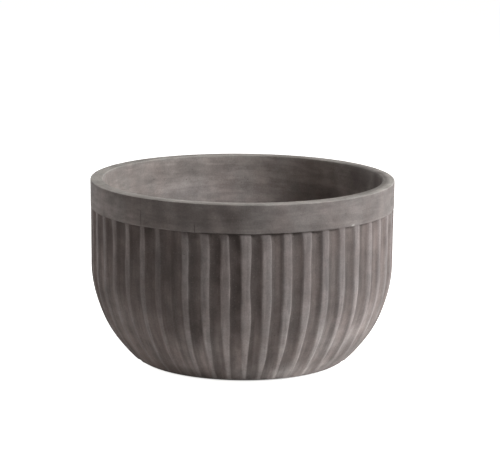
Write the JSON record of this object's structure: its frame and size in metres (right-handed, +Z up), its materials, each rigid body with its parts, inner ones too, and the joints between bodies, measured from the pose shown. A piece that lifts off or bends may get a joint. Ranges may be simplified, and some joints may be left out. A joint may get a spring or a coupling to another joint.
{
  "type": "bowl planter",
  "caption": "Cast concrete bowl planter: a deep round bowl with a smooth collar above scooped vertical flutes, on a narrow foot, with a plugged drain hole.",
  "frame": {"origin": "on the bowl's vertical axis, in the plane of the pads' undersides, where the planter meets the floor", "axes": "+Z up along the bowl's axis; -Y faces the viewer of the picture and passes through the middle of a flat between two flutes; +X to the viewer's right"},
  "size_m": [0.3999, 0.4, 0.24],
  "materials": {
    "concrete": "matt cast concrete with a warm grey-brown patina",
    "galvanised_wire": "dull galvanised",
    "pad_rubber": "matt",
    "plug_rubber": "matt, moulded"
  },
  "bodies": {
    "bowl": {"bowl_shell": "concrete", "rim_hoop": "galvanised_wire", "waist_hoop": "galvanised_wire", "foot_hoop": "galvanised_wire", "drain_hoop": "galvanised_wire", "cage_wire_01": "galvanised_wire", "cage_wire_02": "galvanised_wire", "cage_wire_03": "galvanised_wire", "cage_wire_04": "galvanised_wire", "cage_wire_05": "galvanised_wire", "cage_wire_06": "galvanised_wire", "cage_wire_07": "galvanised_wire", "cage_wire_08": "galvanised_wire", "cage_wire_09": "galvanised_wire", "cage_wire_10": "galvanised_wire", "cage_wire_11": "galvanised_wire", "cage_wire_12": "galvanised_wire", "foot_pad_1": "pad_rubber", "foot_pad_2": "pad_rubber", "foot_pad_3": "pad_rubber", "foot_pad_4": "pad_rubber"},
    "plug": {"drain_plug": "plug_rubber"}
  },
  "joints": [
    {"name": "plug_lift", "type": "slide", "parent": "bowl", "child": "plug", "axis": [0, 0, 1], "range_m": [0, 0.25]}
  ]
}
